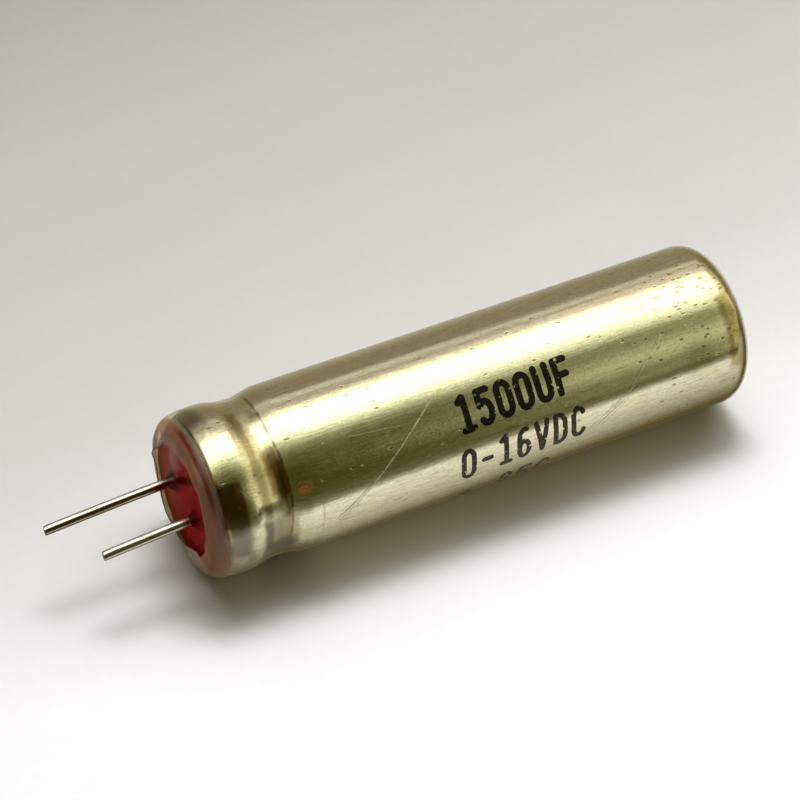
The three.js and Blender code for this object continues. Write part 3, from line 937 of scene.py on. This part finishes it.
def make_ink(material_):
    """Marching squares over the field, then a thin closed shell bent round the sleeve."""
    x, y, field = ink_field()
    vertices, index, faces = [], {}, []

    def corner_vertex(i, j):
        key = (i, j)
        if key not in index:
            index[key] = len(vertices)
            vertices.append((x[i], y[j]))
        return index[key]

    def edge_vertex(a, b):
        key = (min(a, b), max(a, b), "e")
        if key not in index:
            fa, fb = field[a], field[b]
            t = min(max(fa / (fa - fb), 0.04), 0.96)
            index[key] = len(vertices)
            vertices.append((x[a[0]] + (x[b[0]] - x[a[0]]) * t, y[a[1]] + (y[b[1]] - y[a[1]]) * t))
        return index[key]

    nx, ny = field.shape
    inside = field > 0
    for i in range(nx - 1):
        for j in range(ny - 1):
            cell = [(i, j), (i + 1, j), (i + 1, j + 1), (i, j + 1)]
            flags = [inside[c] for c in cell]
            if not any(flags):
                continue
            if flags in ([True, False, True, False], [False, True, False, True]):
                for c in range(4):
                    if flags[c]:
                        faces.append((
                            corner_vertex(*cell[c]),
                            edge_vertex(cell[c], cell[(c + 1) % 4]),
                            edge_vertex(cell[c], cell[c - 1]),
                        ))
                continue
            loop = []
            for c in range(4):
                if flags[c]:
                    loop.append(corner_vertex(*cell[c]))
                if flags[c] != flags[(c + 1) % 4]:
                    a, b = cell[c], cell[(c + 1) % 4]
                    loop.append(edge_vertex(a, b) if (a, b) <= (b, a) else edge_vertex(b, a))
            faces.append(tuple(loop))
    count = len(vertices)

    def bend(p, lift):
        return place(p[0], BODY_RADIUS + lift, math.degrees(p[1] / BODY_RADIUS))

    solid = [bend(p, INK_LIFT) for p in vertices] + [bend(p, -INK_SINK) for p in vertices]
    all_faces = faces + [tuple(v + count for v in reversed(f)) for f in faces]
    used = dict.fromkeys((a, b) for f in faces for a, b in zip(f, f[1:] + f[:1]))
    for a, b in used:
        if (b, a) not in used:
            all_faces.append((b, a, a + count, b + count))
    return make_object("rating_print", solid, all_faces, material_, 30)


print_piece = make_ink(ink())
print_piece.visible_glossy = False

# ---- finishes for the inside

INNER = {  # node: material, dark and light tone, grain, roughness from and to, metallic, grain's stretch
    "rubber_bung": ("bung_rubber", (0.012, 0.011, 0.010), (0.035, 0.032, 0.030), 1.6, (0.7, 0.9)),
    "upper_insulating_disc": ("pressed_fibre", (0.30, 0.20, 0.10), (0.47, 0.33, 0.19), 1.2, (0.8, 0.95)),
    "anode_foil": ("etched_foil", (0.24, 0.24, 0.23), (0.38, 0.38, 0.37), 6.0, (0.5, 0.75), 0.85),
    "cathode_foil": ("plain_foil", (0.62, 0.62, 0.61), (0.78, 0.78, 0.77), 3.0, (0.22, 0.4), 1.0),
    "separator_paper_inner": (
        "soaked_paper", (0.45, 0.35, 0.20), (0.62, 0.52, 0.34), 1.5, (0.45, 0.8), 0.0, (0.3, 1, 1)
    ),
    "closing_tape": ("closing_tape_film", (0.52, 0.33, 0.10), (0.66, 0.45, 0.17), 0.8, (0.25, 0.45)),
    "terminal_stud_positive": (
        "stud_aluminium", (0.55, 0.55, 0.54), (0.76, 0.76, 0.75), 2.0, (0.25, 0.45), 1.0
    ),
    "tab_positive": (
        "tab_aluminium", (0.62, 0.62, 0.61), (0.80, 0.80, 0.79), 2.4, (0.2, 0.4), 1.0, (0.2, 1, 1)
    ),
}
SAME_AS = {
    "lower_insulating_disc": "upper_insulating_disc",
    "separator_paper_outer": "separator_paper_inner",
    "paper_wrap": "separator_paper_inner",
    "terminal_stud_negative": "terminal_stud_positive",
    "tab_negative": "tab_positive",
}
finishes = {node: plain_stuff(*look) for node, look in INNER.items()}
for node in [*INNER, *SAME_AS]:
    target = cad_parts[node].data
    target.materials.clear()
    target.materials.append(finishes[SAME_AS.get(node, node)])

# ---- ride and replace

for piece, slot, nodes in (
    (can_piece, "can_aluminium", ["can"]),
    (sleeve_piece, "sleeve_film", ["outer_sleeve"]),
    (resin_piece, "seal_resin", ["resin_seal"]),
    (lead_pieces["positive"], "tinned_wire", ["lead_wire_positive"]),
    (lead_pieces["negative"], "tinned_wire", ["lead_wire_negative"]),
    (print_piece, "sleeve_film", []),
):
    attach(piece, "root")
    if nodes:
        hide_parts(*nodes)

# ---- floor

FLOOR_PAINTED_FALLOFF = [  # (distance behind the axis in mm, paper tone): a painted fall-off of the light, bright in front, dimmer to the back
    (-30, (0.97, 0.97, 0.97)),
    (-12, (0.92, 0.92, 0.92)),
    (4, (0.72, 0.71, 0.69)),
    (20, (0.61, 0.58, 0.56)),
    (98, (0.35, 0.33, 0.30)),
]


def floor_paper():
    m, g = material("stage_paper")
    where = g.node("ShaderNodeTexCoord").outputs["Object"]
    fibres = g.noise(where, 900.0, 4.0, 0.6)
    mottle = g.noise(where, 60.0, 3.0, 0.5)
    blend = g.weighted(fibres, 0.5, mottle, 0.5)
    # Painted fall-off of the light across the paper.
    tones = g.tones_along(g.split(where)[1], FLOOR_PAINTED_FALLOFF)
    base = g.mix(1.0, tones, g.ramp(blend, [(0.35, (0.97, 0.97, 0.97)), (0.65, (1.0, 1.0, 1.0))]), "MULTIPLY")
    g.output(g.principled(base, 0.9, 0.0, g.bump(fibres, 0.08, 0.0001), Specular_IOR_Level=0.15))
    return m


def plane(name, x0, x1, y0, y1, z, material_):
    corners = [(x0, y0, z), (x1, y0, z), (x1, y1, z), (x0, y1, z)]
    obj = make_object(name, [Vector(c) for c in corners], [(0, 1, 2, 3)], material_)
    return obj


FLOOR_REACH = 2.0  # metres each way
floor = plane("stage_floor", -FLOOR_REACH, FLOOR_REACH, -FLOOR_REACH, FLOOR_REACH, 0.0, floor_paper())
floor.visible_glossy = False

FRONT_GLOW = [  # (distance from the axis in mm, tone): a glowing sheet painting the reflection of the lit paper in front and of the can's own shadow
    (-110, (0.08, 0.07, 0.03)),
    (-41, (0.15, 0.14, 0.08)),
    (-30, (0.35, 0.33, 0.25)),
    (-25, (1.05, 1.05, 1.00)),
    (-15, (0.85, 0.80, 0.75)),
    (-9, (0.50, 0.47, 0.40)),
    (-5.5, (0.17, 0.13, 0.06)),
    (-3, (0.07, 0.06, 0.02)),
]
BACK_GLOW = [  # the same behind the can: a painted reflection of the paper there
    (11, (0.50, 0.46, 0.38)),
    (35, (0.46, 0.43, 0.36)),
    (90, (0.35, 0.30, 0.20)),
]
CARD_SPREAD = 5.7  # share per metre by which the front card's tones move out towards the closed end
CARD_MIDDLE = 24.0  # the station at which they stand as listed
CARD_REACH = 1.5  # metres to either side
CARD_LIFT = 0.0002


def card(name, y0, y1, spread, tones):
    """A glowing sheet on the floor that only reflections see: a painted reflection, its tone running with the
    distance behind.
    """
    m, g = material(name)
    where = g.node("ShaderNodeTexCoord").outputs["Object"]
    x, y, _ = g.split(where)
    along = g.math("SUBTRACT", x, (START_X + CARD_MIDDLE) * MM)
    line = g.math("MULTIPLY", y, g.math("SUBTRACT", 1.0, g.math("MULTIPLY", along, spread)))
    cloud = g.noise(where, 60.0, 3.0)
    base = g.tones_along(line, tones)
    base = g.mix(1.0, base, g.ramp(cloud, [(0.3, (0.95, 0.95, 0.95)), (0.7, (1.0, 1.0, 1.0))]), "MULTIPLY")
    glow = g.node("ShaderNodeEmission")
    g.link(base, glow.inputs["Color"])
    g.output(glow.outputs[0])
    sheet = plane(name, -CARD_REACH, CARD_REACH, y0, y1, CARD_LIFT, m)
    for kind in ("camera", "diffuse", "transmission", "shadow", "volume_scatter"):
        setattr(sheet, f"visible_{kind}", False)


card("stage_front_card", -0.1, -0.003, CARD_SPREAD, FRONT_GLOW)
card("stage_back_card", 0.011, 1.5, 0.0, BACK_GLOW)

# ---- surroundings and lights

SKY_LEFT = [  # (degrees, tone): what a reflection sees on the lead side
    (-180, (0.28, 0.25, 0.18)),
    (-30, (0.12, 0.11, 0.04)),
    (10, (0.07, 0.06, 0.01)),  # dark room in front
    (35, (0.075, 0.07, 0.02)),
    (55, (0.14, 0.14, 0.06)),
    (67, (0.30, 0.30, 0.18)),
    (80, (1.30, 1.35, 1.00)),
    (88, (2.40, 2.50, 1.90)),  # overhead panel
    (112, (2.50, 2.50, 2.40)),
    (118, (1.80, 1.75, 1.20)),
    (125, (0.75, 0.70, 0.70)),
    (132, (0.45, 0.40, 0.30)),
    (143, (0.85, 0.80, 0.75)),  # pale strip on the back wall
    (150, (0.30, 0.25, 0.20)),
    (180, (0.30, 0.25, 0.18)),
]
SKY_RIGHT = [  # the same, towards the closed end
    (-180, (0.23, 0.22, 0.17)),
    (-30, (0.27, 0.28, 0.14)),
    (8, (0.24, 0.24, 0.14)),
    (28, (0.70, 0.70, 0.45)),  # dim window
    (48, (0.30, 0.30, 0.17)),
    (60, (0.34, 0.35, 0.20)),
    (66, (0.90, 0.90, 0.65)),
    (80, (1.65, 1.70, 1.40)),
    (88, (2.30, 2.50, 2.00)),
    (112, (2.40, 2.50, 1.90)),
    (119, (1.50, 1.20, 1.10)),
    (124, (0.60, 0.55, 0.50)),
    (128, (1.10, 1.00, 0.90)),  # two strips on the back wall
    (133, (0.45, 0.40, 0.32)),
    (140, (0.85, 0.78, 0.70)),
    (147, (0.32, 0.28, 0.20)),
    (180, (0.32, 0.28, 0.20)),
]
SKY_FAR = [  # the same, past the closed end
    (-180, (0.22, 0.21, 0.16)),
    (-45, (0.40, 0.38, 0.26)),
    (0, (0.95, 0.92, 0.58)),
    (48, (0.64, 0.61, 0.33)),
    (60, (0.78, 0.74, 0.42)),
    (72, (1.30, 1.25, 0.80)),
    (100, (1.40, 1.30, 0.90)),
    (120, (0.62, 0.57, 0.42)),
    (150, (0.28, 0.24, 0.14)),
    (180, (0.27, 0.23, 0.13)),
]
TURN_RIGHT = (0.345, 0.40)  # share of the direction along +X over which the tables take over
TURN_FAR = (0.45, 0.53)
AMBIENT = (1.0, 0.84, 0.55, 1)
AMBIENT_STRENGTH = 0.13
BACKDROP = (0.74, 0.71, 0.68, 1)


def sky():
    """Soft studio surroundings. Angle 0 is the front horizon, 90 overhead, 180 the back horizon."""
    world = bpy.data.worlds.new("studio")
    bpy.context.scene.world = world
    world.use_nodes = True
    g = Graph(world.node_tree)
    x, y, z = g.split(g.node("ShaderNodeTexCoord").outputs["Generated"])
    angle = g.math("ARCTAN2", z, g.math("MULTIPLY", y, -1.0))
    turn = g.ranged(angle, -math.pi, math.pi, smooth=False)
    left, right, far = (
        g.ramp(turn, [((d + 180) / 360, c) for d, c in table]) for table in (SKY_LEFT, SKY_RIGHT, SKY_FAR)
    )
    seen = g.mix(g.ranged(x, *TURN_RIGHT), left, right)
    seen = g.mix(g.ranged(x, *TURN_FAR), seen, far)
    path = g.node("ShaderNodeLightPath")
    glossy = g.node("ShaderNodeBackground")
    g.link(seen, glossy.inputs["Color"])
    soft = g.node("ShaderNodeBackground")
    soft.inputs["Color"].default_value = AMBIENT
    soft.inputs["Strength"].default_value = AMBIENT_STRENGTH
    backdrop = g.node("ShaderNodeBackground")
    backdrop.inputs["Color"].default_value = BACKDROP
    both = g.shader_mix(path.outputs["Is Glossy Ray"], soft.outputs[0], glossy.outputs[0])
    both = g.shader_mix(path.outputs["Is Camera Ray"], both, backdrop.outputs[0])
    out = g.node("ShaderNodeOutputWorld")
    g.link(both, out.inputs["Surface"])


sky()

LAMP_COLOUR = (0.97, 0.98, 1.0)


def softbox(name, centre, towards, size_x, size_y, watts):
    light = bpy.data.lights.new(name, "AREA")
    light.shape = "RECTANGLE"
    light.size = size_x
    light.size_y = size_y
    light.energy = watts
    light.color = LAMP_COLOUR
    obj = bpy.data.objects.new(name, light)
    bpy.context.scene.collection.objects.link(obj)
    obj.location = centre
    obj.rotation_mode = "QUATERNION"
    obj.rotation_quaternion = (Vector(towards) - Vector(centre)).to_track_quat("-Z", "Y")
    obj.visible_glossy = False
    obj.visible_camera = False


softbox("overhead_softbox", (0.09, 0.16, 0.5), (-0.04, 0, 0), 0.24, 0.16, 1.72)
softbox("broad_softbox", (0.10, 0.23, 0.5), (-0.06, 0, 0), 0.95, 0.42, 2.72)

# ---- camera

CAMERA_AZIMUTH = -26.93
CAMERA_ELEVATION = 41.95
CAMERA_DISTANCE = 0.270  # metres from the aim point
CAMERA_LENS = 133.7
AIM_RIGHT = 19.84  # mm from the middle of the open end to the aim point, across the view
AIM_UP = 9.16

azimuth, elevation = math.radians(CAMERA_AZIMUTH), math.radians(CAMERA_ELEVATION)
camera_back = Vector((
    math.sin(azimuth) * math.cos(elevation),
    -math.cos(azimuth) * math.cos(elevation),
    math.sin(elevation),
))
camera_right = Vector((math.cos(azimuth), math.sin(azimuth), 0))
camera_up = camera_back.cross(camera_right)
aim = spot(0, 0, 0) + camera_right * AIM_RIGHT * MM + camera_up * AIM_UP * MM
camera_data = bpy.data.cameras.new("camera")
camera_data.lens = CAMERA_LENS
camera_data.sensor_width = 36.0
camera_data.clip_start = 0.01
camera_data.clip_end = 10.0
camera = bpy.data.objects.new("camera", camera_data)
bpy.context.scene.collection.objects.link(camera)
camera.location = aim + camera_back * CAMERA_DISTANCE
camera.rotation_mode = "QUATERNION"
camera.rotation_quaternion = (-camera_back).to_track_quat("-Z", "Y")
bpy.context.scene.camera = camera
bpy.context.scene.view_settings.view_transform = "Standard"
